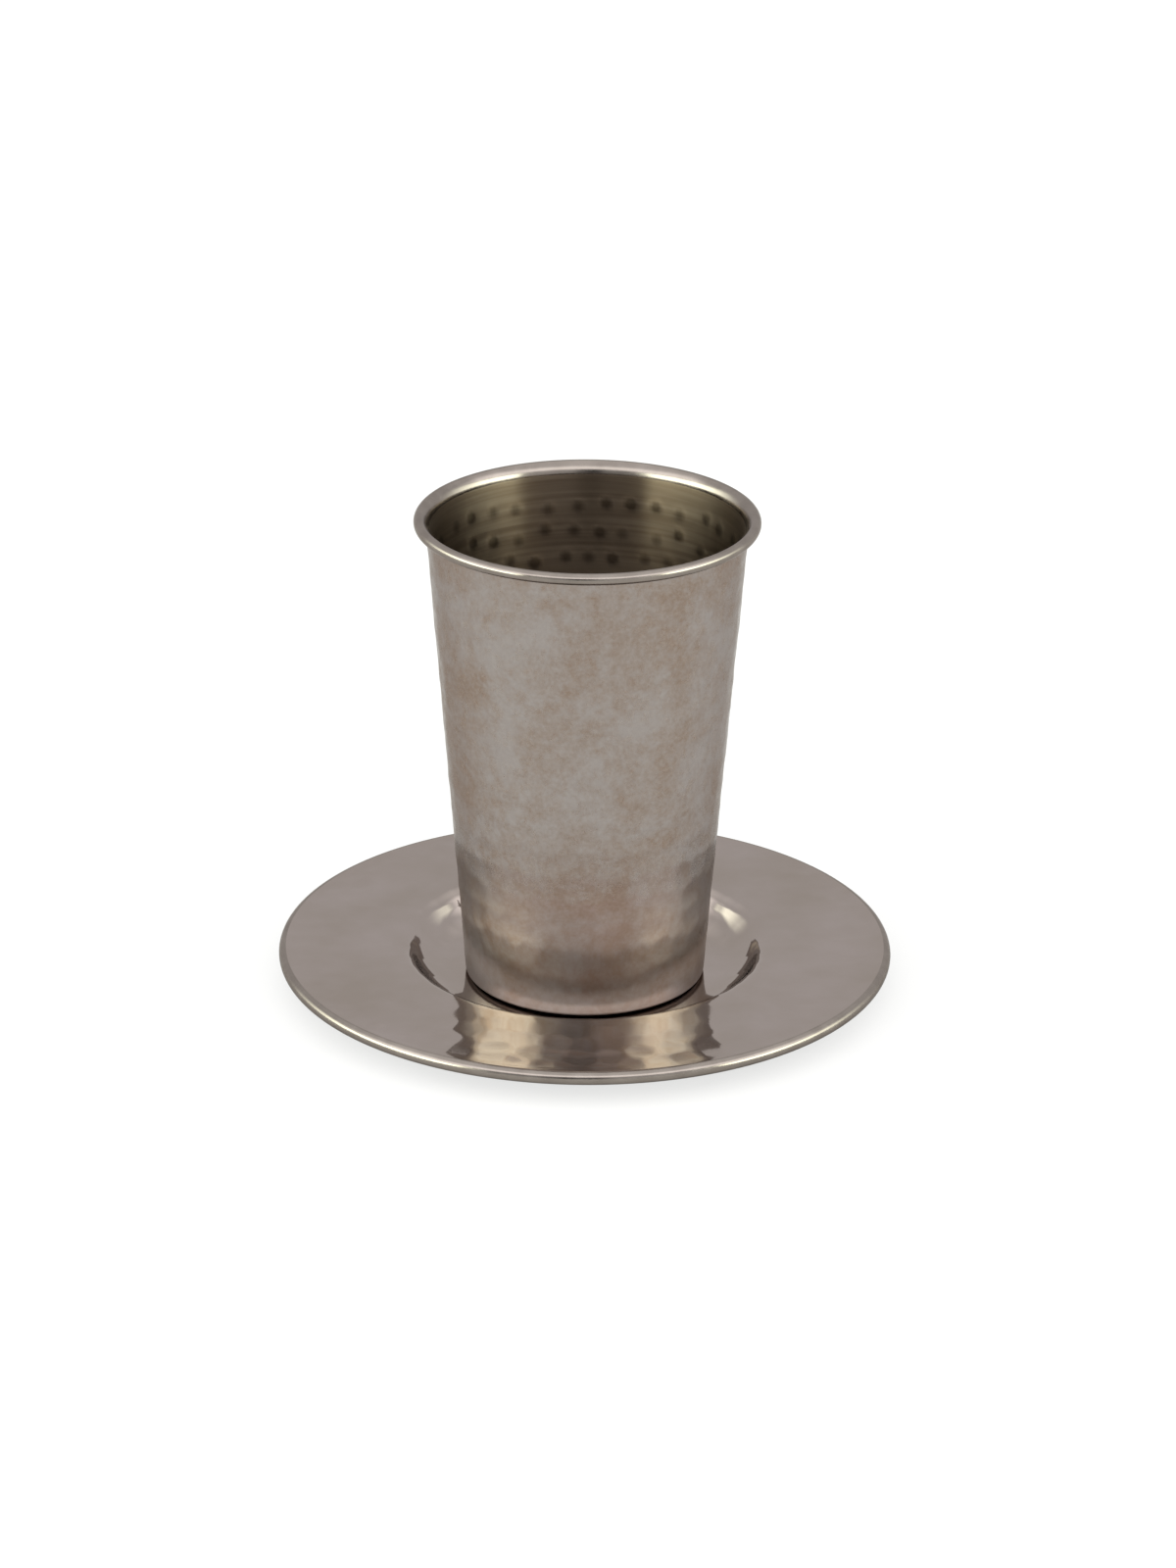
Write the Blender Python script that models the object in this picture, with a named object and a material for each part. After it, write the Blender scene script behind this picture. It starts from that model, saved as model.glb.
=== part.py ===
"""A small round plate with a tumbler standing in its well: a matching set in stainless steel.

Each piece is one sheet of steel, pressed and spun to shape, with its edge rolled into a bead.
The sheet's middle line is drawn from the axis outwards as straights and bends, turned about Z,
and given its thickness by a Solidify modifier. The tumbler is free and lifts straight up.

Metres, +Z up. The origin is the middle of the plate's flat underside.
"""

import math

import bmesh
import bpy
from mathutils import Matrix, Vector

MM = 0.001

# Round pieces
TURN_STEPS = 64             # facets in a full turn
BEND_STEP = math.radians(20)  # the most that one facet of a bend turns

# Plate
PLATE_DIAMETER = 140 * MM
PLATE_SHEET = 1.0 * MM
FLANGE_TOP = 7.9 * MM       # height of the flange's upper face
FLANGE_INNER_RADIUS = 42.8 * MM  # where the level flange starts to fall into the well
SHOULDER_BEND = 3.5 * MM    # bend radius from the flange into the well
WELL_BEND = 10.0 * MM       # bend radius from the well's wall into its floor
WELL_SLOPE = math.radians(55)    # steepest slope of the well's wall
PLATE_BEAD = 1.6 * MM       # outer radius of the rolled edge
PLATE_CURL = math.radians(265)   # how far the edge is rolled round

# Tumbler
CUP_HEIGHT = 110.0 * MM
CUP_SHEET = 0.8 * MM
CUP_FOOT_RADIUS = 27.25 * MM  # where the straight wall would meet the standing plane
CUP_WALL_SLOPE = math.radians(85.38)  # from level, which opens the rim to 77 mm across
FOOT_BEND = 1.2 * MM        # outside corner round the foot
BASE_RECESS = 1.0 * MM      # how far the middle of the base is pushed up
BASE_RECESS_RADIUS = 21.0 * MM
BASE_SLOPE = math.radians(30)  # of the step between the recess and the standing ring
BASE_BEND = 1.6 * MM
LIP_FLARE_BEND = 3.0 * MM   # the wall opens outwards through this bend
LIP_FLARE_END = math.radians(35)  # slope where the flare turns into the bead
CUP_BEAD = 1.28 * MM        # outer radius of the rolled lip
CUP_CURL_END = math.radians(-212)  # slope of the sheet where the roll ends

GAP = 0.3 * MM              # clearance between the tumbler's base and the well's floor

# Brushed and polished steel: colour, roughness, metallic
PLATE_FINISH = ((0.30, 0.26, 0.24, 1.0), 0.10, 1.0)
CUP_FINISH = ((0.30, 0.27, 0.23, 1.0), 0.20, 1.0)


def clear_scene():
    for thing in list(bpy.data.objects):
        bpy.data.objects.remove(thing, do_unlink=True)


class SheetLine:
    """The middle line of a sheet in the X-Z plane, drawn from a start point and a heading."""

    def __init__(self, x, z):
        self.points = [Vector((x, 0.0, z))]
        self.heading = 0.0

    def straight(self, length):
        step = Vector((math.cos(self.heading), 0.0, math.sin(self.heading)))
        self.points.append(self.points[-1] + step * length)

    def straight_to_x(self, x):
        self.straight((x - self.points[-1].x) / math.cos(self.heading))

    def bend_to(self, heading, radius):
        """Turns to a heading along an arc whose middle line has this radius."""
        turn = heading - self.heading
        side = math.copysign(1.0, turn)
        steps = max(1, math.ceil(abs(turn) / BEND_STEP - 1e-6))
        start, first = self.points[-1], self.heading
        for i in range(1, steps + 1):
            angle = first + turn * i / steps
            across = math.sin(angle) - math.sin(first)
            up = math.cos(first) - math.cos(angle)
            self.points.append(start + Vector((across, 0.0, up)) * (radius * side))
        self.heading = heading


def rise_in_bends(radii, slope):
    """The height gained by turning from level to a slope and back through two bends."""
    return sum(radii) * (1 - math.cos(slope))


def plate_line():
    """Flat floor, well wall, level flange, and an edge rolled outwards and down."""
    middle = PLATE_SHEET / 2
    bends = (WELL_BEND, SHOULDER_BEND)
    rise = FLANGE_TOP - PLATE_SHEET
    wall = (rise - rise_in_bends(bends, WELL_SLOPE)) / math.sin(WELL_SLOPE)
    run = sum(bends) * math.sin(WELL_SLOPE) + wall * math.cos(WELL_SLOPE)
    curl = PLATE_BEAD - middle

    line = SheetLine(0.0, middle)
    line.straight_to_x(FLANGE_INNER_RADIUS - run)
    line.bend_to(WELL_SLOPE, WELL_BEND)
    line.straight(wall)
    line.bend_to(0.0, SHOULDER_BEND)
    line.straight_to_x(PLATE_DIAMETER / 2 - PLATE_BEAD)
    line.bend_to(-PLATE_CURL, curl)
    return line.points


def cup_line(base_height):
    """Recessed base, standing ring, straight wall, flared lip and an edge rolled outwards."""
    middle = CUP_SHEET / 2
    standing = base_height + middle
    curl = CUP_BEAD - middle
    step = BASE_RECESS - rise_in_bends((BASE_BEND, BASE_BEND), BASE_SLOPE)
    foot_bend = FOOT_BEND - middle

    line = SheetLine(0.0, standing + BASE_RECESS)
    line.straight_to_x(BASE_RECESS_RADIUS)
    line.bend_to(-BASE_SLOPE, BASE_BEND)
    line.straight(step / math.sin(BASE_SLOPE))
    line.bend_to(0.0, BASE_BEND)

    # The foot's bend ends on the straight wall, whose outer face passes through the foot radius.
    across_wall = middle / math.sin(CUP_WALL_SLOPE)
    corner = CUP_FOOT_RADIUS - across_wall + middle / math.tan(CUP_WALL_SLOPE)
    tangent = foot_bend * math.tan(CUP_WALL_SLOPE / 2)
    line.straight_to_x(corner - tangent)
    line.bend_to(CUP_WALL_SLOPE, foot_bend)

    top = base_height + CUP_HEIGHT - middle
    flare_rise = LIP_FLARE_BEND * (math.cos(LIP_FLARE_END) - math.cos(CUP_WALL_SLOPE))
    bead_rise = curl * (1 - math.cos(LIP_FLARE_END))
    wall = (top - bead_rise - flare_rise - line.points[-1].z) / math.sin(CUP_WALL_SLOPE)
    line.straight(wall)
    line.bend_to(LIP_FLARE_END, LIP_FLARE_BEND)
    line.bend_to(CUP_CURL_END, curl)
    return line.points


def turned_sheet(name, points, thickness, finish):
    """Turns the middle line about Z and gives the surface the sheet's thickness."""
    bm = bmesh.new()
    verts = [bm.verts.new(point) for point in points]
    edges = [bm.edges.new(pair) for pair in zip(verts, verts[1:])]
    bmesh.ops.spin(
        bm,
        geom=verts + edges,
        cent=(0, 0, 0),
        axis=(0, 0, 1),
        angle=math.tau,
        steps=TURN_STEPS,
        use_merge=True,
    )
    bmesh.ops.remove_doubles(bm, verts=bm.verts, dist=0.001 * MM)
    bmesh.ops.recalc_face_normals(bm, faces=bm.faces)
    mesh = bpy.data.meshes.new(name)
    bm.to_mesh(mesh)
    bm.free()
    mesh.shade_smooth()

    piece = bpy.data.objects.new(name, mesh)
    bpy.context.scene.collection.objects.link(piece)
    sheet = piece.modifiers.new("Sheet thickness", "SOLIDIFY")
    sheet.thickness = thickness
    sheet.offset = 0.0
    sheet.use_even_offset = True
    mesh.materials.append(steel(name + " steel", *finish))
    return piece


def steel(name, colour, roughness, metallic):
    material = bpy.data.materials.new(name)
    material.use_nodes = True
    shader = material.node_tree.nodes["Principled BSDF"]
    shader.inputs["Base Color"].default_value = colour
    shader.inputs["Roughness"].default_value = roughness
    shader.inputs["Metallic"].default_value = metallic
    return material


def main():
    clear_scene()
    plate = turned_sheet("plate", plate_line(), PLATE_SHEET, PLATE_FINISH)

    # The tumbler's origin is on its lift axis, at the middle of its base.
    base_height = PLATE_SHEET + GAP
    cup = turned_sheet("cup", cup_line(base_height), CUP_SHEET, CUP_FINISH)
    cup.data.transform(Matrix.Translation((0.0, 0.0, -base_height)))
    cup.location = (0.0, 0.0, base_height)
    cup.parent = plate


main()
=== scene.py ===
# %% [markdown]
# # A hammered steel plate and its tumbler
#
# The set has two pieces: a small round plate with a well in the middle, and a tapered tumbler
# that stands in the well and lifts off. Both are single sheets of stainless steel whose edges
# are rolled into a bead, and both were planished, which means struck all over with a polished
# hammer. This file builds them again at full detail round a simpler engineering model, the
# frame, which gives every size and place and says what moves. We load the frame first and keep
# its outer boxes, which give the outer sizes.

# %% Load the frame
import math

import bmesh
import bpy
import numpy as np
from mathutils import Matrix, Vector


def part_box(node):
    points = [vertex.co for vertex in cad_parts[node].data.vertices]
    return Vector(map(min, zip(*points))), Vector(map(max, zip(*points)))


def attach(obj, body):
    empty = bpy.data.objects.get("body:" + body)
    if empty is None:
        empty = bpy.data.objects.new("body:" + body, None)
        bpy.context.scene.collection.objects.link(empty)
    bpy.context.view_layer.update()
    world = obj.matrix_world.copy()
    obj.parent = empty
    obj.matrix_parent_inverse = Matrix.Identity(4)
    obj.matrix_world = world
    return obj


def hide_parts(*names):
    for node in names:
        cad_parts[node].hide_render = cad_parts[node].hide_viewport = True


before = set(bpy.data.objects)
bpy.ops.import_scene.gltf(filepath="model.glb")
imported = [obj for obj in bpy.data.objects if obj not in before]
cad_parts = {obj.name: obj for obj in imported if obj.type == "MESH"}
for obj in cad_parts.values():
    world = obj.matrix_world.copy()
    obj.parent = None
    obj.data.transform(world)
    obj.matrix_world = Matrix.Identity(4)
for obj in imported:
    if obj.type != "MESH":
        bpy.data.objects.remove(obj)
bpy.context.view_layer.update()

# %% [markdown]
# ## Sizes
#
# Lengths are in metres, as Blender has them, and MM turns millimetres into metres. The outer
# sizes come from the frame's boxes. What a box can't tell, such as the radius of a bend, is
# written down here, with the same values as the frame was made with.

# %% Sizes
MM = 0.001
_, plate_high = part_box("plate")
cup_low, cup_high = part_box("cup")

PLATE_RADIUS = 70.0 * MM
PLATE_SHEET = 1.0 * MM
PLATE_BEAD = 1.6 * MM        # outer radius of the rolled edge
PLATE_CURL = math.radians(265)   # how far the edge is rolled round
FLANGE_TOP = plate_high[2]
FLANGE_INNER = 42.8 * MM     # the level flange starts to fall into the well here
SHOULDER_BEND = 3.5 * MM
WELL_BEND = 10.0 * MM
WELL_SLOPE = math.radians(55)

CUP_BASE = cup_low[2]
CUP_TOP = cup_high[2]
CUP_SHEET = 0.8 * MM
CUP_BEAD = 1.28 * MM         # outer radius of the rolled lip
CUP_FOOT = 27.25 * MM        # radius where the straight wall would meet the standing plane
CUP_SLOPE = math.radians(85.38)
FOOT_BEND = 1.2 * MM
RECESS = 1.0 * MM            # how far the middle of the base is pushed up
RECESS_RADIUS = 21.0 * MM
RECESS_SLOPE = math.radians(30)
RECESS_BEND = 1.6 * MM
LIP_BEND = 3.0 * MM
LIP_SLOPE = math.radians(35)
LIP_START = CUP_TOP - 2.9 * MM   # the wall starts to flare outwards here
LIP_CURL_END = math.radians(-212)  # slope of the sheet where the roll ends
print(f"plate {2 * plate_high[0] / MM:.1f} mm across, flange {FLANGE_TOP / MM:.1f} mm up")
print(f"tumbler {(CUP_TOP - CUP_BASE) / MM:.1f} mm tall, rim {2 * cup_high[0] / MM:.1f} mm across")

# %% [markdown]
# ## The camera
#
# A product picture of something this small is taken from about a metre away with a long lens,
# so that the rim's ellipse stays gentle and the walls hardly converge. The camera looks down by
# about 23 degrees, low enough to see the hammered wall and high enough to look into the mouth.

# %% Camera
CAMERA_PLACE = Vector((0.5, -1078.6, 499.7)) * MM
CAMERA_PITCH = 0.3976        # radians below the horizon
CAMERA_ROLL = 0.0065         # radians, anticlockwise from behind the camera
CAMERA_LENS = 118.7          # millimetres, on a sensor 36 mm high

camera_data = bpy.data.cameras.new("camera")
camera_data.lens = CAMERA_LENS
camera_data.sensor_width = 36.0
camera_data.clip_start = 0.01
camera_data.clip_end = 100.0
camera = bpy.data.objects.new("camera", camera_data)
tilt = Matrix.Rotation(math.pi / 2 - CAMERA_PITCH, 4, "X")
camera.matrix_world = Matrix.Translation(CAMERA_PLACE) @ tilt @ Matrix.Rotation(CAMERA_ROLL, 4, "Z")
bpy.context.scene.collection.objects.link(camera)
bpy.context.scene.camera = camera
print(f"camera {CAMERA_PLACE.length:.2f} m away, lens {CAMERA_LENS} mm")

# %% [markdown]
# ## Helpers for nodes and colours
#
# Every material here is a small graph of nodes. One function adds a node, sets its properties,
# fills its inputs and makes its links, so a material reads as a list of steps. Colours are
# written as the hex values a paint program shows, and one function turns them into the linear
# values that light adds up in.

# %% Node and colour helpers
def add(tree, kind, inputs=None, **settings):
    """Adds a node. An input's value is a number or colour to set, or another node's output."""
    node = tree.nodes.new(kind)
    for name, value in settings.items():
        setattr(node, name, value)
    for name, value in (inputs or {}).items():
        if isinstance(value, bpy.types.NodeSocket):
            tree.links.new(value, node.inputs[name])
        else:
            node.inputs[name].default_value = value
    return node


def linear(hex_colour):
    """An sRGB hex colour as linear red, green, blue and alpha."""
    channels = [int(hex_colour[i:i + 2], 16) / 255 for i in (1, 3, 5)]
    return [c / 12.92 if c <= 0.04045 else ((c + 0.055) / 1.055) ** 2.4 for c in channels] + [1.0]


def new_material(name):
    """An empty material and its tree, ending in a Principled shader."""
    material = bpy.data.materials.new(name)
    material.use_nodes = True
    tree = material.node_tree
    tree.nodes.clear()
    shader = add(tree, "ShaderNodeBsdfPrincipled")
    add(tree, "ShaderNodeOutputMaterial", {"Surface": shader.outputs["BSDF"]})
    return material, tree, shader


print("mid grey #808080 is", [round(c, 3) for c in linear("#808080")])

# %% [markdown]
# ## Floor
#
# The set stands on a plain white table that runs out of sight in every direction. It is matt,
# and it is what the tumbler's wall mirrors: seen from above, a wall of polished metal shows the
# table in front of it. Studios print such a table almost pure white, so the camera sees its
# shadows softened, while the metal, which needs a dark line under its edges, sees them in full.

# %% Floor
FLOOR_HALF_SIZE = 40.0
SHADOW_SOFTENING = 0.65
floor_mesh = bpy.data.meshes.new("floor")
floor_bm = bmesh.new()
bmesh.ops.create_grid(floor_bm, x_segments=1, y_segments=1, size=FLOOR_HALF_SIZE)
floor_bm.to_mesh(floor_mesh)
floor_bm.free()
floor = bpy.data.objects.new("floor", floor_mesh)
bpy.context.scene.collection.objects.link(floor)
floor_material, tree, shader = new_material("Matt white table")
shader.inputs["Base Color"].default_value = linear("#c4c3c2")
shader.inputs["Roughness"].default_value = 0.9
shader.inputs["Specular IOR Level"].default_value = 0.1
ray = add(tree, "ShaderNodeLightPath").outputs["Is Camera Ray"]
softened = add(tree, "ShaderNodeMath", {0: ray, 1: SHADOW_SOFTENING}, operation="MULTIPLY")
white = add(tree, "ShaderNodeEmission", {"Color": linear("#ffffff"), "Strength": 1.1})
printed = add(tree, "ShaderNodeMixShader", {
    0: softened.outputs[0], 1: shader.outputs[0], 2: white.outputs[0],
})
tree.links.new(printed.outputs[0], tree.nodes["Material Output"].inputs["Surface"])
floor_mesh.materials.append(floor_material)
print("floor", floor.dimensions.x, "m across")

# %% [markdown]
# ## Light
#
# Polished metal has hardly any colour of its own: it shows the room. So the light is painted as
# a whole room round the set, by direction. White walls close it all round. Two big softboxes
# stand left and right, and the camera is a dark spot between them, with a grey screen beside it.
# A wide band of light hangs 30 to 50 degrees up, round the front and the sides: it is what the
# plate's level flange mirrors. Above it the ceiling is a little brighter than the walls. Because
# this room is infinitely far away, it lights the floor evenly. The camera itself sees plain
# white, so that no softbox ever shows behind the set.

# %% Room of light
world = bpy.data.worlds.new("studio")
bpy.context.scene.world = world
world.use_nodes = True
room = world.node_tree
room.nodes.clear()


def ramp(value, start, end):
    """Rises smoothly from 0 at start to 1 at end, or falls if end is the smaller."""
    made = add(room, "ShaderNodeMapRange", {
        "Value": value, "From Min": start, "From Max": end,
    }, interpolation_type="SMOOTHSTEP")
    return made.outputs[0]


def product(first, second):
    """One value times another, which keeps only what both masks let through."""
    return add(room, "ShaderNodeMath", {0: first, 1: second}, operation="MULTIPLY").outputs[0]


def band(value, start, full, fading, end):
    """0 outside start and end, 1 from full to fading, and smooth between."""
    return product(ramp(value, start, full), ramp(value, end, fading))


def lamp(mask, radiance, colour):
    """One part of the room: a colour times a strength, where its mask is 1."""
    scaled = add(room, "ShaderNodeVectorMath", {
        0: [c * radiance for c in linear(colour)[:3]], "Scale": mask,
    }, operation="SCALE")
    return scaled.outputs[0]


direction = add(room, "ShaderNodeTexCoord").outputs["Generated"]
parts = add(room, "ShaderNodeSeparateXYZ", {0: direction})
forwards = product(parts.outputs[1], -1.0)
turn = add(room, "ShaderNodeMath", {0: parts.outputs[0], 1: forwards}, operation="ARCTAN2")
azimuth = add(room, "ShaderNodeMath", {0: turn.outputs[0]}, operation="DEGREES").outputs[0]
rise_angle = add(room, "ShaderNodeMath", {0: parts.outputs[2]}, operation="ARCSINE")
elevation = add(room, "ShaderNodeMath", {0: rise_angle.outputs[0]}, operation="DEGREES").outputs[0]

# Azimuth is 0 at the camera and grows to the right; elevation is 0 at the horizon.
lamp_height = band(elevation, 1, 4, 22, 28)
left_softbox = product(band(azimuth, -136, -80, -46.5, -42), lamp_height)
right_softbox = product(band(azimuth, 49, 53, 60, 130), lamp_height)
ring_light = product(band(elevation, 25, 31, 40, 58), band(azimuth, -120, -80, 80, 120))
everywhere = ramp(elevation, -91, -90)
ceiling = ramp(elevation, 30, 60)
low = ramp(elevation, 34, 26)
camera_spot = product(band(azimuth, -10.5, -8.5, 6.5, 8.5), low)
grey_screen = product(band(azimuth, -47, -41, -8, 22), low)
lights = [
    lamp(left_softbox, 7.2, "#f6ffea"),
    lamp(right_softbox, 7.2, "#f6ffea"),
    lamp(ring_light, 2.1, "#ffffff"),
    lamp(everywhere, 1.0, "#ffffff"),
    lamp(ceiling, 0.5, "#ffffff"),
    lamp(camera_spot, -0.54, "#ffffff"),
    lamp(grey_screen, -0.40, "#ffffff"),
]
total = lights[0]
for light in lights[1:]:
    total = add(room, "ShaderNodeVectorMath", {0: total, 1: light}, operation="ADD").outputs[0]
studio = add(room, "ShaderNodeBackground", {"Color": total, "Strength": 1.0})
plain = add(room, "ShaderNodeBackground", {"Color": linear("#ffffff"), "Strength": 1.0})
path = add(room, "ShaderNodeLightPath")
seen = add(room, "ShaderNodeMixShader", {
    0: path.outputs["Is Camera Ray"], 1: studio.outputs[0], 2: plain.outputs[0],
})
add(room, "ShaderNodeOutputWorld", {"Surface": seen.outputs[0]})
bpy.context.scene.view_settings.view_transform = "Standard"
print("room of light:", len(lights), "parts")

# %% [markdown]
# ## Drawing a sheet
#
# Both pieces are bent sheets, so each starts as one line in the X-Z plane: the middle of the
# sheet's thickness, from the axis outwards. A straight is a vertex extruded along the heading,
# and a bend is a vertex spun about the bend's centre. Curves made this way have exact radii,
# which matters on mirror metal, where the eye reads every bend from its highlight.

# %% The sheet line
BEND_STEP = math.radians(9)      # the most that one edge of a bend turns


class SheetLine:
    """A line of edges in a bmesh, drawn from the axis with a heading, as a bender sees it."""

    def __init__(self, height):
        self.bm = bmesh.new()
        self.tip = self.bm.verts.new((0.0, 0.0, height))
        self.heading = 0.0

    def straight(self, length, step):
        """Extrudes the tip along the heading in equal edges of about a step."""
        edges = max(1, round(length / step))
        way = Vector((math.cos(self.heading), 0.0, math.sin(self.heading)))
        for _ in range(edges):
            made = bmesh.ops.extrude_vert_indiv(self.bm, verts=[self.tip])
            self.tip = made["verts"][0]
            bmesh.ops.translate(self.bm, verts=[self.tip], vec=way * (length / edges))

    def straight_to_x(self, x, step):
        """Goes straight on until the tip is this far from the axis."""
        self.straight((x - self.tip.co.x) / math.cos(self.heading), step)

    def bend_to(self, heading, radius):
        """Spins the tip round a centre beside the line until the line has this heading."""
        angle = heading - self.heading
        side = math.copysign(1.0, angle)
        normal = Vector((-math.sin(self.heading), 0.0, math.cos(self.heading))) * side
        made = bmesh.ops.spin(
            self.bm,
            geom=[self.tip],
            cent=self.tip.co + normal * radius,
            axis=(0, -1, 0),
            angle=angle,
            steps=max(2, math.ceil(abs(angle) / BEND_STEP)),
        )
        self.tip = made["geom_last"][0]
        self.heading = heading


def turned(name, line, steps, thickness):
    """Spins the line a full turn about Z, gives it the sheet's thickness and returns the piece."""
    bm = line.bm
    bmesh.ops.spin(
        bm,
        geom=bm.verts[:] + bm.edges[:],
        cent=(0, 0, 0),
        axis=(0, 0, 1),
        angle=math.tau,
        steps=steps,
        use_merge=True,
    )
    bmesh.ops.remove_doubles(bm, verts=bm.verts, dist=0.001 * MM)
    bmesh.ops.recalc_face_normals(bm, faces=bm.faces)
    mesh = bpy.data.meshes.new(name)
    bm.to_mesh(mesh)
    bm.free()
    piece = bpy.data.objects.new(name, mesh)
    bpy.context.scene.collection.objects.link(piece)
    sheet = piece.modifiers.new("Sheet thickness", "SOLIDIFY")
    sheet.thickness = thickness
    sheet.offset = 0.0
    sheet.use_even_offset = True
    bpy.context.view_layer.objects.active = piece
    bpy.ops.object.modifier_apply(modifier=sheet.name)
    piece.data.shade_smooth()
    print(f"{name}: {len(piece.data.vertices)} vertices, {len(piece.data.polygons)} faces")
    return piece


# %% [markdown]
# ## Hammer marks
#
# A planishing hammer has a slightly domed, polished face. Each blow leaves a shallow dish, and
# where neighbouring dishes meet they leave a soft ridge. Blows follow rows round the piece, but
# no hand is exact, so every blow is a little off its place and a little deeper or shallower.
# Rows go in pairs, and each pair starts half a step further round than the one before it. The
# vertices themselves are moved, because a mirror finish shows a fake made by shading alone.

# %% Hammer marks
BLOWS_APART = 6.6 * MM       # round the piece, along a row
ROWS_APART = 6.0 * MM


def blows(rows, seed, wander, depth):
    """One (along, across, depth) per blow: rows are (distance across, number round) pairs."""
    rng = np.random.default_rng(seed)
    found = []
    for index, (across, count) in enumerate(rows):
        phase = 0.75 - 0.5 * (index // 2 % 2)
        for k in range(count):
            turn = (k + phase + rng.normal(0, wander)) / count * math.tau
            place = across + rng.normal(0, wander) * ROWS_APART
            found.append((turn, place, depth * rng.uniform(0.6, 1.3)))
    return found


def dishes(turns, across, radii, marks, reach):
    """How deep the blows have pushed each point in, where neighbouring dishes meet in ridges."""
    deepest = np.zeros(len(turns))
    for turn, place, depth in marks:
        around = (turns - turn + math.pi) % math.tau - math.pi
        far = ((around * radii) ** 2 + (across - place) ** 2) / reach ** 2
        deepest = np.maximum(deepest, depth * (1 - far))
    return deepest


def coordinates(piece):
    """Every vertex's place, one row each."""
    flat = np.empty(len(piece.data.vertices) * 3)
    piece.data.vertices.foreach_get("co", flat)
    return flat.reshape(-1, 3)


def normals(piece):
    """Every vertex's normal, one row each."""
    flat = np.empty(len(piece.data.vertices) * 3)
    piece.data.vertices.foreach_get("normal", flat)
    return flat.reshape(-1, 3)


def push_in(piece, amount):
    """Moves every vertex against its normal by its own amount."""
    moved = coordinates(piece) - normals(piece) * amount[:, None]
    piece.data.vertices.foreach_set("co", moved.ravel())
    piece.data.update()


def fade(values, low, high):
    """0 below low, 1 above high, smooth between."""
    share = np.clip((values - low) / (high - low), 0, 1)
    return share * share * (3 - 2 * share)


# %% [markdown]
# ## The plate
#
# The line runs along the well's flat floor, up its wall, over a rounded shoulder, along the
# level flange and round the rolled edge. Steps are about a millimetre on the flange, fine enough
# for hammer marks six millimetres across. The blows start at the foot of the well's wall and stop
# at the rolled edge, and they fell harder on the outer half of the flange.

# %% Plate
PLATE_STEPS = 360            # facets in a full turn
PLATE_BLOW_REACH = 4.4 * MM  # radius of one dish
OUTER_EXTRA = 1.5            # how much more the outer blows weigh


def plate_line():
    middle = PLATE_SHEET / 2
    rise = FLANGE_TOP - PLATE_SHEET
    in_bends = (WELL_BEND + SHOULDER_BEND) * (1 - math.cos(WELL_SLOPE))
    wall = (rise - in_bends) / math.sin(WELL_SLOPE)
    run = (WELL_BEND + SHOULDER_BEND) * math.sin(WELL_SLOPE) + wall * math.cos(WELL_SLOPE)
    line = SheetLine(middle)
    line.straight_to_x(FLANGE_INNER - run, step=2.0 * MM)
    line.bend_to(WELL_SLOPE, WELL_BEND)
    line.straight(wall, step=1.0 * MM)
    line.bend_to(0.0, SHOULDER_BEND)
    line.straight_to_x(PLATE_RADIUS - PLATE_BEAD, step=0.9 * MM)
    line.bend_to(-PLATE_CURL, PLATE_BEAD - middle)
    return line


plate = turned("plate_visual", plate_line(), PLATE_STEPS, PLATE_SHEET)
spots = coordinates(plate)
spread = np.hypot(spots[:, 0], spots[:, 1])
around = np.arctan2(spots[:, 1], spots[:, 0])
ring_radii = [36.0 * MM + ROWS_APART * k for k in range(6)]
rings = [(radius, round(math.tau * radius / BLOWS_APART)) for radius in ring_radii]
marks = blows(rings, seed=5, wander=0.13, depth=0.09 * MM)
sunk = dishes(around, spread, spread, marks, PLATE_BLOW_REACH)
worked = fade(spread, 31 * MM, 36 * MM) * (1 - fade(spread, 66.5 * MM, 68.3 * MM))
worked *= 1 + OUTER_EXTRA * fade(spread, 52 * MM, 62 * MM)
facing_up = normals(plate)[:, 2] > 0
push_in(plate, sunk * worked * np.where(facing_up, 1, -1))
print(f"{len(marks)} blows, deepest {sunk.max() / MM:.2f} mm")

# %% [markdown]
# ## The tumbler
#
# The line starts in the pushed-up middle of the base, steps down to the standing ring, turns up
# into the wall, flares at the lip and rolls over into the bead. The outside was hammered from
# the foot to just under the lip. Inside, each blow shows as a small raised bump. How high a bump
# is there is kept on the mesh, because the inside's colour paints the bumps dark with it: painted
# shade.

# %% Tumbler
CUP_STEPS = 248              # facets in a full turn
CUP_ROWS = 16
CUP_ROWS_APART = 6.2 * MM
CUP_BLOWS_ROUND = 33
TOP_ROW = CUP_TOP - 9.6 * MM
CUP_BLOW_REACH = 4.3 * MM    # radius of one dish outside
BUMP_REACH = 1.8 * MM        # radius of one bump inside


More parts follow.
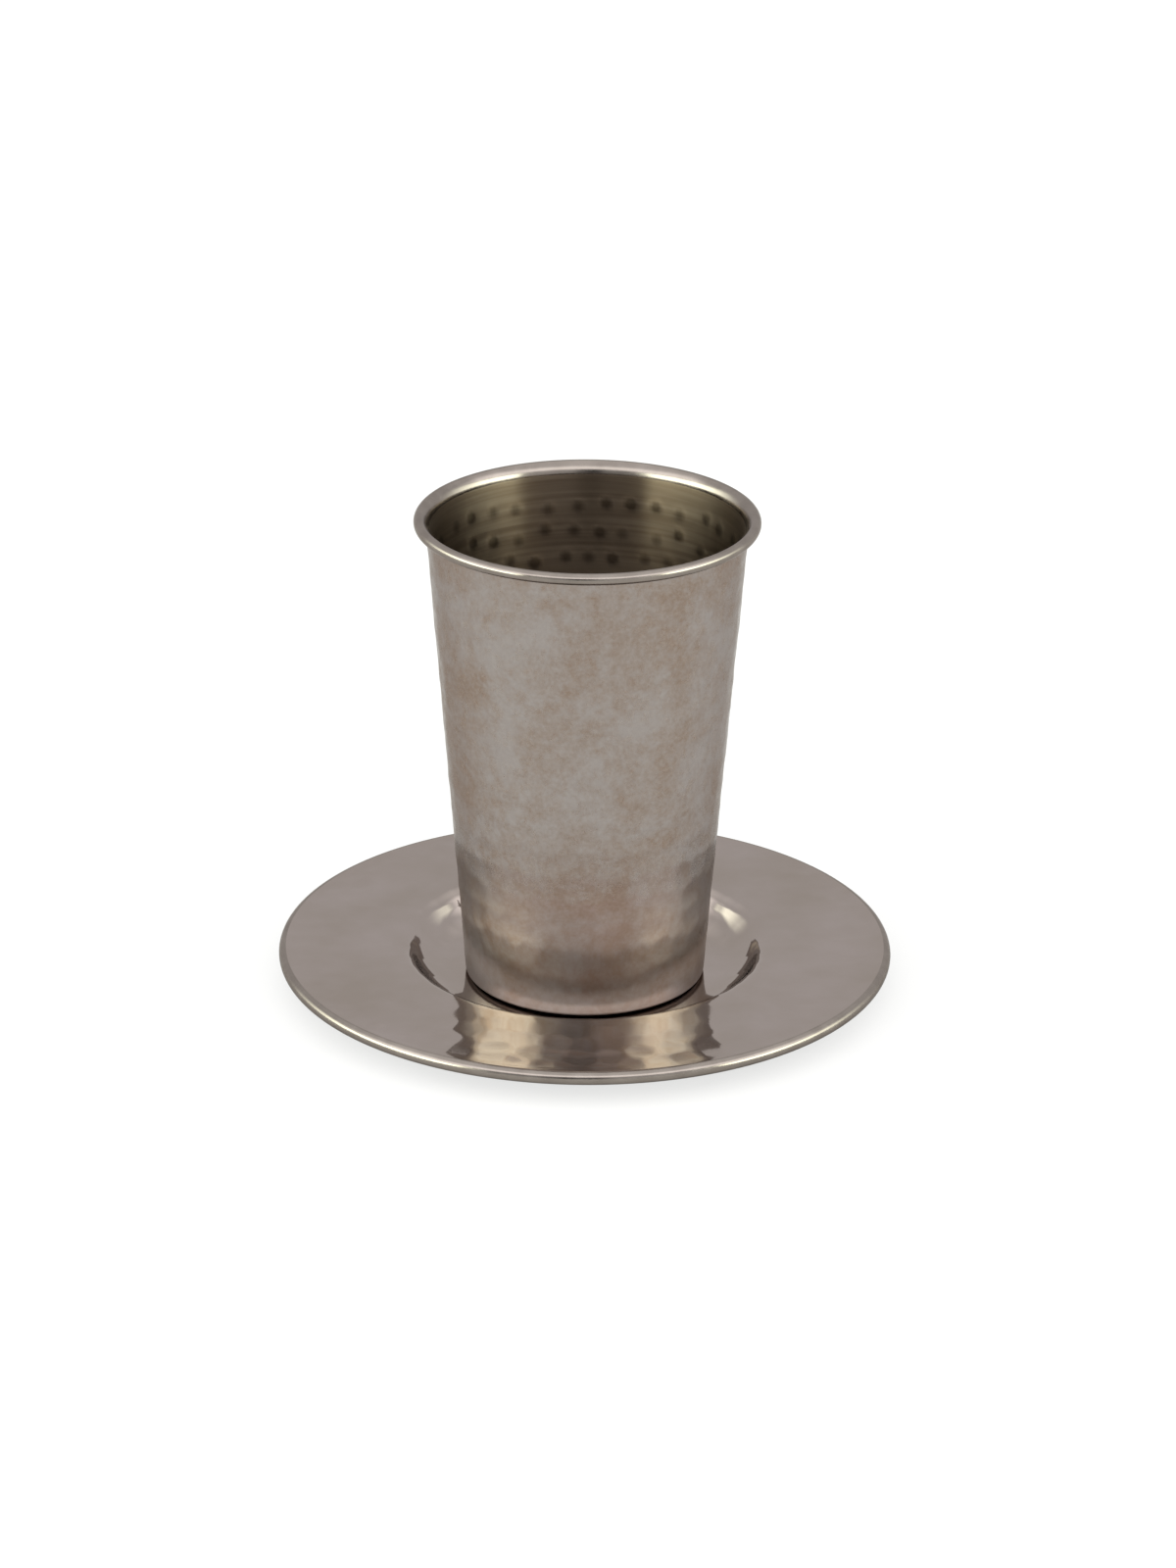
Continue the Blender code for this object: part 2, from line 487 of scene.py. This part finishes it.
def cup_line():
    middle = CUP_SHEET / 2
    curl = CUP_BEAD - middle
    foot_bend = FOOT_BEND - middle
    drop = RECESS - 2 * RECESS_BEND * (1 - math.cos(RECESS_SLOPE))
    line = SheetLine(CUP_BASE + middle + RECESS)
    line.straight_to_x(RECESS_RADIUS, step=3.0 * MM)
    line.bend_to(-RECESS_SLOPE, RECESS_BEND)
    line.straight(drop / math.sin(RECESS_SLOPE), step=1.0 * MM)
    line.bend_to(0.0, RECESS_BEND)
    corner = CUP_FOOT - middle / math.sin(CUP_SLOPE) + middle / math.tan(CUP_SLOPE)
    line.straight_to_x(corner - foot_bend * math.tan(CUP_SLOPE / 2), step=1.0 * MM)
    line.bend_to(CUP_SLOPE, foot_bend)
    flare_rise = LIP_BEND * (math.cos(LIP_SLOPE) - math.cos(CUP_SLOPE))
    wall_top = CUP_TOP - middle - curl * (1 - math.cos(LIP_SLOPE)) - flare_rise
    line.straight((wall_top - line.tip.co.z) / math.sin(CUP_SLOPE), step=0.8 * MM)
    line.bend_to(LIP_SLOPE, LIP_BEND)
    line.bend_to(LIP_CURL_END, curl)
    return line


cup = turned("cup_visual", cup_line(), CUP_STEPS, CUP_SHEET)
spots = coordinates(cup)
spread = np.hypot(spots[:, 0], spots[:, 1])
around = np.arctan2(spots[:, 1], spots[:, 0])
height = spots[:, 2]
wall_middle = CUP_FOOT - CUP_SHEET / 2 + (height - CUP_BASE) / math.tan(CUP_SLOPE)
outside = spread > wall_middle
rows = [(TOP_ROW - CUP_ROWS_APART * k, CUP_BLOWS_ROUND) for k in range(CUP_ROWS)]
marks = blows(rows, seed=11, wander=0.10, depth=0.13 * MM)
sunk = dishes(around, height, spread, marks, CUP_BLOW_REACH)
above_foot = fade(height, CUP_BASE + 2 * MM, CUP_BASE + 5 * MM)
below_lip = 1 - fade(height, CUP_TOP - 8 * MM, CUP_TOP - 5 * MM)
outer_worked = above_foot * below_lip
bumps = dishes(around, height, spread, marks, BUMP_REACH)
inner_worked = fade(height, CUP_BASE + 4 * MM, CUP_BASE + 7 * MM)
push_in(cup, np.where(outside, sunk * outer_worked, -bumps * inner_worked))
# How high each inside bump is, kept so that the inside's colour can paint the bumps dark: painted
# shade.
bump_shade = cup.data.attributes.new("bump_shade", "FLOAT", "POINT")
bump_shade.data.foreach_set("value", np.where(outside, 0, bumps / bumps.max() * inner_worked))
print(f"{len(marks)} blows in {len(rows)} rows, deepest {sunk.max() / MM:.2f} mm")

# %% [markdown]
# ## Planished mirror steel: the plate
#
# Stainless steel is a grey metal with a slight warm cast, which grows with every bounce. That is
# part of why the inside of the tumbler looks brown; the rest is painted shade, since the inside's
# own colour is set darker and browner than the plate's, though it is the same sheet. The plate was
# buffed after planishing, so it is nearly a mirror: low roughness, a faint drift of tone where the
# buffing wheel pressed harder, and hairline polishing marks. Metals keep the default IOR.

# %% Mirror steel
def tone_between(tree, factor, dark, light):
    """A colour between two tones."""
    mix = add(tree, "ShaderNodeMix", {0: factor, 6: linear(dark), 7: linear(light)}, data_type="RGBA")
    return mix.outputs[2]


def noise(tree, place, size_mm, detail=3.0, roughness=0.55, distortion=0.0):
    """Soft random patches about size_mm across."""
    made = add(tree, "ShaderNodeTexNoise", {
        "Vector": place, "Scale": 1 / (size_mm * MM), "Detail": detail,
        "Roughness": roughness, "Distortion": distortion,
    })
    return made.outputs["Fac"]


def remap(tree, value, low, high, to_low=0.0, to_high=1.0):
    """A value's range from low to high, stretched to another range and held at its ends."""
    made = add(tree, "ShaderNodeMapRange", {
        "Value": value, "From Min": low, "From Max": high, "To Min": to_low, "To Max": to_high,
    })
    return made.outputs[0]


mirror_steel, tree, shader = new_material("Planished mirror steel")
place = add(tree, "ShaderNodeTexCoord").outputs["Object"]
buffing = noise(tree, place, 18.0, detail=4.0)
steel_tone = tone_between(tree, remap(tree, buffing, 0.3, 0.7), "#90867f", "#998f8b")
tree.links.new(steel_tone, shader.inputs["Base Color"])
wear = noise(tree, place, 9.0)
tree.links.new(remap(tree, wear, 0.3, 0.7, 0.05, 0.09), shader.inputs["Roughness"])
shader.inputs["Metallic"].default_value = 1.0
shader.inputs["Specular Tint"].default_value = linear("#e0dddb")
hairlines = add(tree, "ShaderNodeBump", {
    "Height": noise(tree, place, 1.4, detail=2.0), "Strength": 0.06, "Distance": 0.05 * MM,
})
tree.links.new(hairlines.outputs[0], shader.inputs["Normal"])
plate.data.materials.append(mirror_steel)
print("mirror steel on", plate.name)

# %% [markdown]
# ## Satin steel: the two rolled edges
#
# The beads are the same steel, rolled in a die and only wiped with a fine pad, so they are a
# little duller than the plate: a lamp becomes a soft line along the roll. Their tone is also
# painted a little darker than the plate's, as painted shade on the rolled edges. On the plate the
# finish starts where the sheet starts to roll.

# %% Satin steel
satin_steel, tree, shader = new_material("Rolled satin steel")
place = add(tree, "ShaderNodeTexCoord").outputs["Object"]
wiping = noise(tree, place, 5.0, detail=4.0)
# Painted shade: the tone is set a little darker than the plate's steel, with random variation from
# the wiping.
shaded_satin_tone = tone_between(tree, remap(tree, wiping, 0.3, 0.7), "#7f7771", "#8a827c")
tree.links.new(shaded_satin_tone, shader.inputs["Base Color"])
tree.links.new(remap(tree, wiping, 0.3, 0.7, 0.17, 0.25), shader.inputs["Roughness"])
shader.inputs["Metallic"].default_value = 1.0
shader.inputs["Specular Tint"].default_value = linear("#cfcccb")
plate.data.materials.append(satin_steel)
BEAD_START = PLATE_RADIUS - PLATE_BEAD
for face in plate.data.polygons:
    face.material_index = int(math.hypot(face.center.x, face.center.y) > BEAD_START)
print("satin steel on the plate's bead")

# %% [markdown]
# ## Hammered steel with a patina: the tumbler's outside
#
# The outside was heated and struck, and kept a thin film of oxide: warm brown clouds over cool
# grey, about two centimetres across and ragged at the edges, with finer mottling of a millimetre
# or two inside them and a faint ring where each small blow landed. The film is thin enough to
# stay glossy, in patches. Towards the foot it thins out, so the clouds are paler there, and the
# steel is evenly dull, which blurs the plate that the foot would otherwise mirror sharply.

# %% Patinated steel
THIN_BELOW = 8 * MM          # these four are heights above the table, with the tumbler at rest
FULL_ABOVE = 34 * MM
DULL_BELOW = 22 * MM
PATCHY_ABOVE = 48 * MM
DULL_FOOT = 0.32             # roughness

patina_steel, tree, shader = new_material("Hammered steel with patina")
place = add(tree, "ShaderNodeTexCoord").outputs["Object"]
rise = add(tree, "ShaderNodeSeparateXYZ", {0: place}).outputs[2]
coated = remap(tree, rise, THIN_BELOW, FULL_ABOVE)
clouds = noise(tree, place, 20.0, detail=6.0, roughness=0.66, distortion=0.5)
mottle = noise(tree, place, 2.6, detail=5.0, roughness=0.72)
flecks = noise(tree, place, 0.9, detail=3.0, roughness=0.6)
ragged = add(tree, "ShaderNodeMix", {0: 0.34, 2: clouds, 3: mottle}, data_type="FLOAT").outputs[0]
brown = remap(tree, ragged, 0.41, 0.59)
film = tone_between(tree, brown, "#958e8b", "#87776c")
dusty = add(tree, "ShaderNodeMix", {
    0: remap(tree, flecks, 0.40, 0.75, 0.0, 0.30), 6: film, 7: linear("#aaa39f"),
}, data_type="RGBA").outputs[2]
thin_film = tone_between(tree, brown, "#b6b0ad", "#a5968b")
coat = add(tree, "ShaderNodeMix", {0: coated, 6: thin_film, 7: dusty}, data_type="RGBA")
tree.links.new(coat.outputs[2], shader.inputs["Base Color"])
gloss = remap(tree, mottle, 0.35, 0.65, 0.15, 0.30)
low_down = remap(tree, rise, PATCHY_ABOVE, DULL_BELOW)
dull = add(tree, "ShaderNodeMix", {0: low_down, 2: gloss, 3: DULL_FOOT}, data_type="FLOAT")
tree.links.new(dull.outputs[0], shader.inputs["Roughness"])
shader.inputs["Metallic"].default_value = 1.0
shader.inputs["Specular Tint"].default_value = linear("#cfcccb")
small_blows = add(tree, "ShaderNodeTexVoronoi", {
    "Vector": place, "Scale": 1 / (2.8 * MM), "Randomness": 0.7,
}, feature="SMOOTH_F1")
rings = add(tree, "ShaderNodeBump", {
    "Height": small_blows.outputs["Distance"], "Strength": 0.10, "Distance": 0.25 * MM,
})
pores = add(tree, "ShaderNodeBump", {
    "Height": mottle, "Strength": 0.15, "Distance": 0.06 * MM, "Normal": rings.outputs[0],
})
tree.links.new(pores.outputs[0], shader.inputs["Normal"])
print("patina ready")

# %% [markdown]
# ## Turned steel: the tumbler's inside
#
# The inside was brushed on a lathe, so its scratches run round it. Scratches spread a reflection
# across themselves, here up and down, and leave it sharp sideways: a lamp becomes an upright
# band. Anisotropy does this, along a tangent that runs round the Z axis. The colour is painted
# shade: darker and browner than the plate's steel, and darker still on the raised bumps, by how
# high each bump is.

# %% Turned steel
turned_steel, tree, shader = new_material("Turned steel")
place = add(tree, "ShaderNodeTexCoord").outputs["Object"]
stretch = add(tree, "ShaderNodeMapping", {"Vector": place, "Scale": (0.02, 0.02, 1.0)}).outputs[0]
grooves = noise(tree, stretch, 0.8, detail=2.0)
# Painted shade: the inside's tone is set darker and browner than the plate's steel, with random
# variation along the grooves.
shaded_brushed_tone = tone_between(tree, remap(tree, grooves, 0.35, 0.65), "#726455", "#7c6f60")
# Painted shade: the raised bumps are painted near black by their height.
shade_on_bumps = add(tree, "ShaderNodeAttribute", attribute_name="bump_shade").outputs["Fac"]
tone_with_bump_shade = add(tree, "ShaderNodeMix", {
    0: remap(tree, shade_on_bumps, 0.05, 0.6, 0.0, 0.66), 6: shaded_brushed_tone, 7: linear("#30261c"),
}, data_type="RGBA").outputs[2]
tree.links.new(tone_with_bump_shade, shader.inputs["Base Color"])
tree.links.new(remap(tree, grooves, 0.3, 0.7, 0.29, 0.33), shader.inputs["Roughness"])
shader.inputs["Metallic"].default_value = 1.0
shader.inputs["Anisotropic"].default_value = 0.85
shader.inputs["Anisotropic Rotation"].default_value = 0.25
ring = add(tree, "ShaderNodeTangent", direction_type="RADIAL", axis="Z")
tree.links.new(ring.outputs[0], shader.inputs["Tangent"])
print("turned steel ready")

# %% [markdown]
# ## Which finish goes where
#
# The tumbler is one sheet with three finishes. A face belongs to the inside if its normal points
# up or towards the axis, and the flared lip and its bead have the satin finish.

# %% Finishes on the tumbler
for finish in (patina_steel, turned_steel, satin_steel):
    cup.data.materials.append(finish)
OUTSIDE, INSIDE, LIP = 0, 1, 2
for face in cup.data.polygons:
    outwards = Vector((face.center.x, face.center.y, 0.0)).normalized()
    inside = face.normal.z - face.normal.dot(outwards) > 0
    face.material_index = LIP if face.center.z > LIP_START else INSIDE if inside else OUTSIDE
counts = np.bincount([face.material_index for face in cup.data.polygons])
print("faces outside, inside, lip:", counts)

# %% [markdown]
# ## Hand over
#
# Each piece rides on its own body, so that the tumbler lifts off the plate, and stands for the
# engineering model's plain solid.

# %% Hand over
for piece, node, slot in ((plate, "plate", "polished_steel"), (cup, "cup", "hammered_steel")):
    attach(piece, node)
    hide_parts(node)
